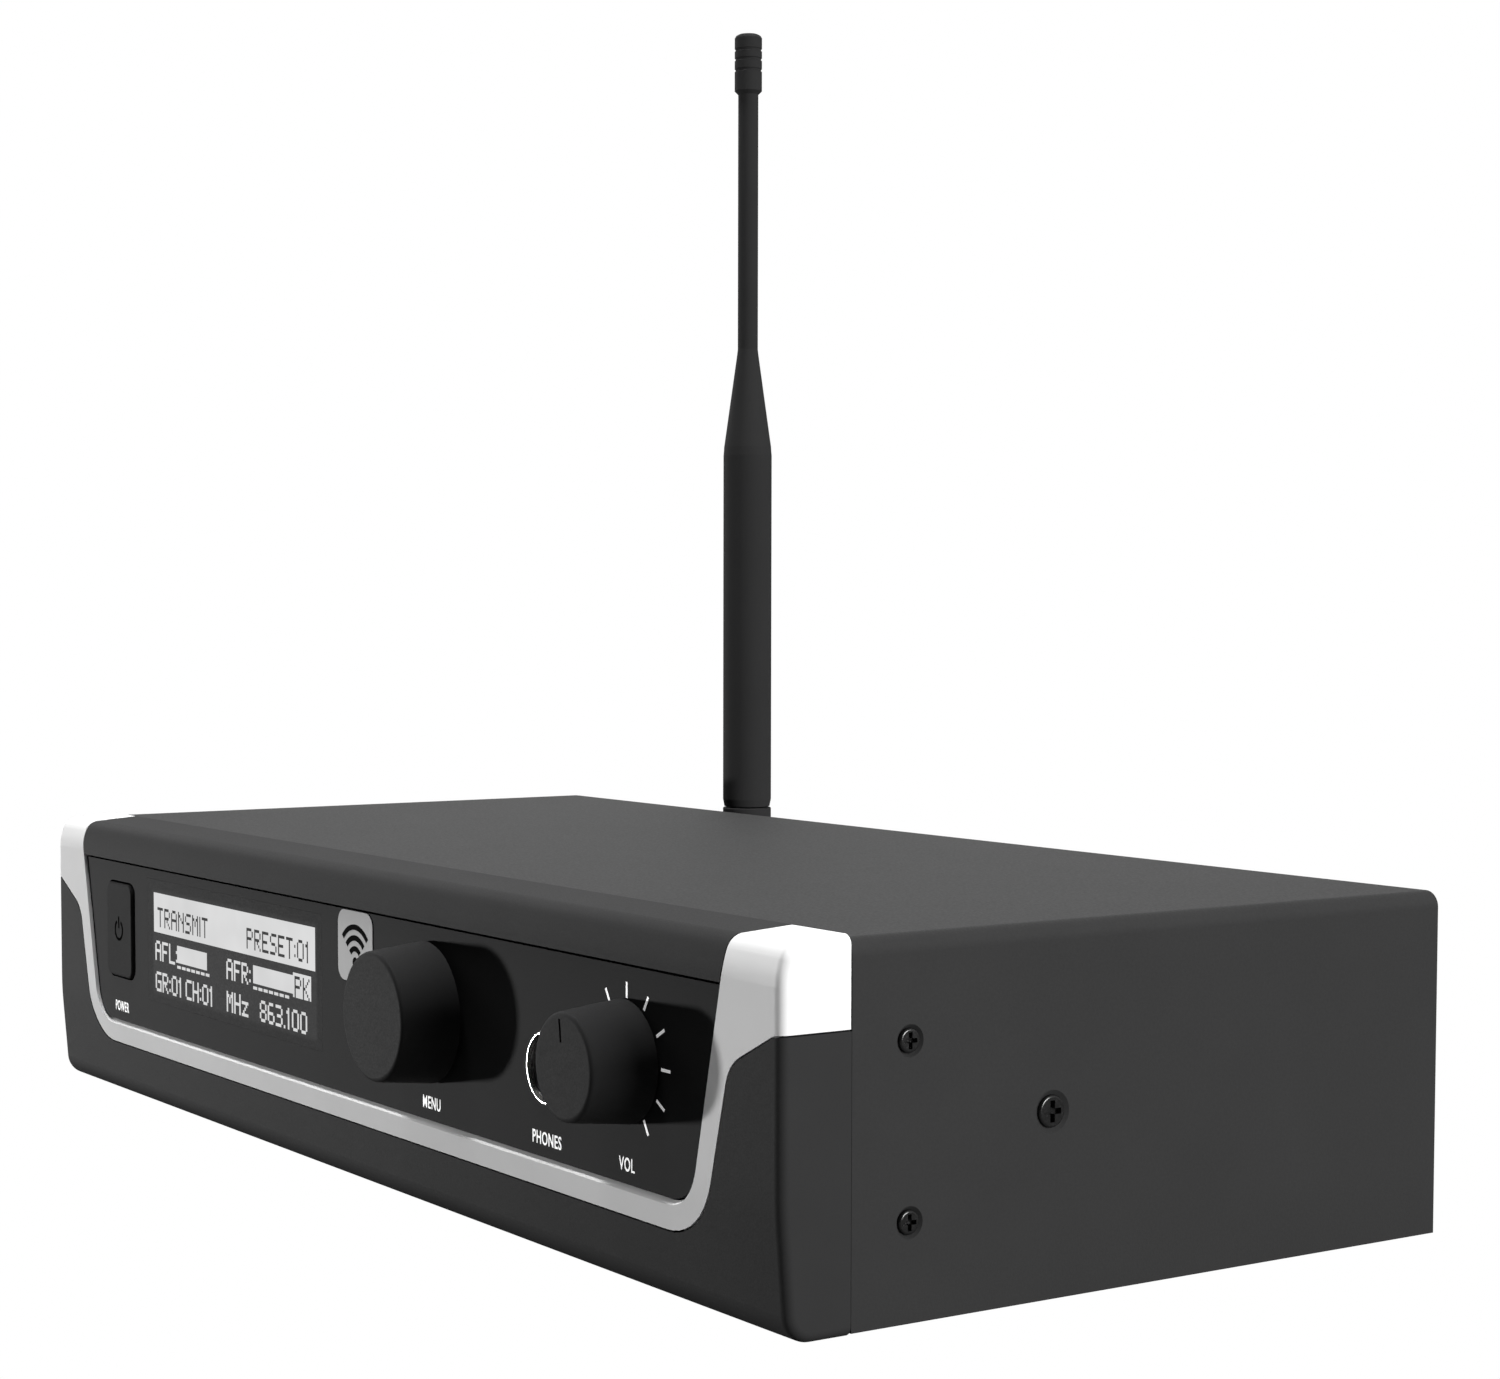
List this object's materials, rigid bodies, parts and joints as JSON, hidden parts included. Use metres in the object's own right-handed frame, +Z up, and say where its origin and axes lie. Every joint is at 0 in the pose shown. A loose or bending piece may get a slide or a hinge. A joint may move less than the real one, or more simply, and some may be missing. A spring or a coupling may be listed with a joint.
{
  "type": "wireless monitor transmitter",
  "caption": "Half-rack audio unit with a metal case, sloped plastic front, silver trim, display, push button, two dials, headphone socket, rear sockets and a folding whip antenna.",
  "frame": {"origin": "centre of the bounding box's bottom face, at the level the rubber feet stand on", "axes": "+Z up, front panel faces -Y, +X to the right seen from the front"},
  "size_m": [0.212, 0.1354, 0.1852],
  "materials": {
    "cover_paint": "fine-texture dark grey powder coat",
    "tray_paint": "satin black paint",
    "bezel_plastic": "finely textured dark grey moulding",
    "panel_plastic": "smooth satin dark grey",
    "silver_paint": "satin silver paint over plastic",
    "display_window": "smoked clear acrylic, satin front",
    "lcd_glass": "liquid crystal cell",
    "backlight_plastic": "white light guide in a tray with tinned pins",
    "button_plastic": "satin dark grey moulding",
    "knob_plastic": "soft-touch dark grey moulding",
    "control_housing": "black moulded housing",
    "plated_steel": "bright zinc plate",
    "black_screws": "black-finished steel",
    "nickel_plate": "bright nickel plate",
    "socket_plastic": "black glass-filled nylon",
    "gold_contacts": "gold-flashed contact metal",
    "circuit_board": "green solder-masked laminate",
    "chip_plastic": "black moulded packages",
    "capacitor_sleeve": "printed shrink sleeve over aluminium cans",
    "foot_rubber": "black moulded rubber",
    "insulator_white": "white fluoropolymer insulator",
    "antenna_plastic": "satin black moulding",
    "antenna_rubber": "satin black flexible sleeve"
  },
  "bodies": {
    "case": {"front_bezel": "bezel_plastic", "silver_trim": "silver_paint", "control_panel": "panel_plastic", "display_lens": "display_window", "lcd_cell": "lcd_glass", "lcd_backlight": "backlight_plastic", "power_switch": "control_housing", "encoder_body": "control_housing", "volume_pot": "control_housing", "shaft_nuts": "plated_steel", "phones_jack_sleeve": "nickel_plate", "phones_jack_body": "socket_plastic", "front_board": "circuit_board", "front_board_screws": "plated_steel", "bezel_screws": "plated_steel", "top_cover": "cover_paint", "chassis_tray": "tray_paint", "rear_panel": "tray_paint", "rear_panel_screws": "black_screws", "ear_screws": "black_screws", "ear_screw_nuts": "plated_steel", "cover_screws": "black_screws", "cover_screw_nuts": "plated_steel", "rubber_feet": "foot_rubber", "main_board": "circuit_board", "board_standoffs": "plated_steel", "board_screws": "plated_steel", "rf_shield_can": "plated_steel", "audio_chips": "chip_plastic", "capacitors": "capacitor_sleeve", "board_connector": "chip_plastic", "combo_input_left": "socket_plastic", "combo_input_right": "socket_plastic", "combo_contacts": "gold_contacts", "combo_screws": "black_screws", "output_jack_left": "socket_plastic", "output_jack_right": "socket_plastic", "output_jack_nuts": "nickel_plate", "dc_inlet": "socket_plastic", "dc_inlet_pin": "nickel_plate", "cord_hook": "socket_plastic", "bnc_jack": "nickel_plate", "bnc_insulator": "insulator_white", "bnc_nut": "nickel_plate"},
    "power_key": {"power_button": "button_plastic", "power_switch_plunger": "socket_plastic"},
    "menu_plunger": {"encoder_plunger": "plated_steel"},
    "menu_dial": {"menu_knob": "knob_plastic", "menu_shaft": "plated_steel"},
    "volume_dial": {"volume_knob": "knob_plastic", "volume_shaft": "plated_steel"},
    "antenna_ring": {"antenna_coupling_ring": "antenna_plastic"},
    "antenna_base": {"antenna_elbow": "antenna_plastic", "antenna_contact": "gold_contacts", "antenna_pivot_pin": "plated_steel"},
    "antenna_whip": {"antenna_knuckle": "antenna_plastic", "antenna_sleeve": "antenna_rubber", "antenna_rod": "antenna_rubber", "antenna_tip": "antenna_plastic"}
  },
  "joints": [
    {"name": "power_press", "type": "slide", "parent": "case", "child": "power_key", "axis": [0, 1, 0], "range_m": [0, 0.001], "stiffness_N_per_m": 800, "springref_m": -0.0006},
    {"name": "menu_press", "type": "slide", "parent": "case", "child": "menu_plunger", "axis": [0, 1, 0], "range_m": [0, 0.0005], "stiffness_N_per_m": 2500, "springref_m": -0.0004},
    {"name": "menu_turn", "type": "hinge", "parent": "menu_plunger", "child": "menu_dial", "pos_m": [0.0263, -0.05944, 0.0285], "axis": [0, 1, 0], "continuous": true},
    {"name": "volume_turn", "type": "hinge", "parent": "case", "child": "volume_dial", "pos_m": [0.0743, -0.05944, 0.0286], "axis": [0, 1, 0], "range_deg": [-150, 150]},
    {"name": "bayonet_turn", "type": "hinge", "parent": "case", "child": "antenna_ring", "pos_m": [-0.0779, 0.05056, 0.0236], "axis": [0, 1, 0], "range_deg": [0, 90]},
    {"name": "antenna_swivel", "type": "hinge", "parent": "case", "child": "antenna_base", "pos_m": [-0.0779, 0.05056, 0.0236], "axis": [0, 1, 0], "range_deg": [-90, 90]},
    {"name": "antenna_fold", "type": "hinge", "parent": "antenna_base", "child": "antenna_whip", "pos_m": [-0.0779, 0.06331, 0.0236], "axis": [-1, 0, 0], "range_deg": [0, 90]}
  ]
}
